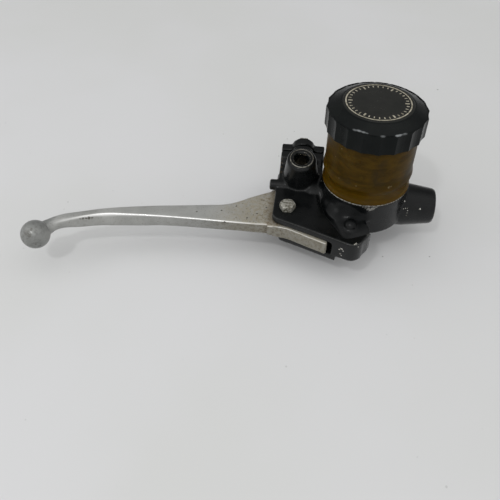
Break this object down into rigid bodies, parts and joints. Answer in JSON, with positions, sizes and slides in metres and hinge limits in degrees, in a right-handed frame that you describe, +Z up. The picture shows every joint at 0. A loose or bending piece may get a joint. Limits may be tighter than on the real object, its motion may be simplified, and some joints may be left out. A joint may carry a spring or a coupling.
{
  "type": "brake master cylinder",
  "caption": "Handlebar brake master cylinder with a round screw-capped reservoir, a pivoted ball-ended hand lever, a bar clamp, a mirror boss and a threaded hose outlet.",
  "frame": {"origin": "middle of the handlebar clamp's width, on the handlebar's axis", "axes": "+X along the handlebar towards the hose outlet, +Z up along the reservoir's axis; the lever's tip lies towards -X and the lever stands in front of the bar towards -Y"},
  "size_m": [0.2582, 0.1097, 0.1024],
  "materials": {
    "casting": "semi-gloss black paint, worn at edges",
    "hardware": "zinc plated, stained",
    "amber_plastic": "aged translucent amber",
    "cap_plastic": "moulded black, satin",
    "rubber": "matt black",
    "brass": "machined",
    "spring_steel": "bright",
    "lever_alloy": "weathered cast and brushed"
  },
  "bodies": {
    "housing": {"cylinder_body": "casting", "clamp_cap": "casting", "clamp_bolt_upper": "hardware", "clamp_bolt_lower": "hardware", "clamp_washer_upper": "hardware", "clamp_washer_lower": "hardware", "reservoir": "amber_plastic", "reservoir_seal": "rubber", "retainer_plate": "hardware", "retainer_screw_1": "hardware", "retainer_screw_2": "hardware", "retainer_screw_3": "hardware", "diaphragm": "rubber", "check_valve": "brass", "return_spring": "spring_steel", "stop_washer": "spring_steel", "circlip": "spring_steel", "dust_boot": "rubber", "pivot_bolt": "hardware", "pivot_washer": "hardware", "pivot_nut": "hardware"},
    "lever": {"lever": "lever_alloy", "lever_bush": "brass"},
    "piston": {"piston": "brass", "primary_cup": "rubber", "secondary_cup": "rubber"},
    "cap_carrier": {"cap_plate": "cap_plastic"},
    "cap": {"reservoir_cap": "cap_plastic"}
  },
  "joints": [
    {"name": "lever_pivot", "type": "hinge", "parent": "housing", "child": "lever", "pos_m": [-0.0062, -0.0509, -0.00037], "axis": [0, 0, -1], "range_deg": [0, 16]},
    {"name": "piston_slide", "type": "slide", "parent": "housing", "child": "piston", "axis": [1, 0, 0], "range_m": [0, 0.0068], "stiffness_N_per_m": 1500, "springref_m": -0.006, "deforming": ["return_spring"]},
    {"name": "cap_lift", "type": "slide", "parent": "housing", "child": "cap_carrier", "axis": [0, 0, 1], "range_m": [0, 0.00801]},
    {"name": "cap_turn", "type": "hinge", "parent": "cap_carrier", "child": "cap", "pos_m": [0.0415, -0.0267, 0.01843], "axis": [0, 0, 1], "range_deg": [0, 720]}
  ],
  "couplings": [
    {"joint": "piston_slide", "follows": "lever_pivot", "m_per_rad": 0.0242},
    {"joint": "cap_lift", "follows": "cap_turn", "m_per_rad": 0.00063662}
  ]
}
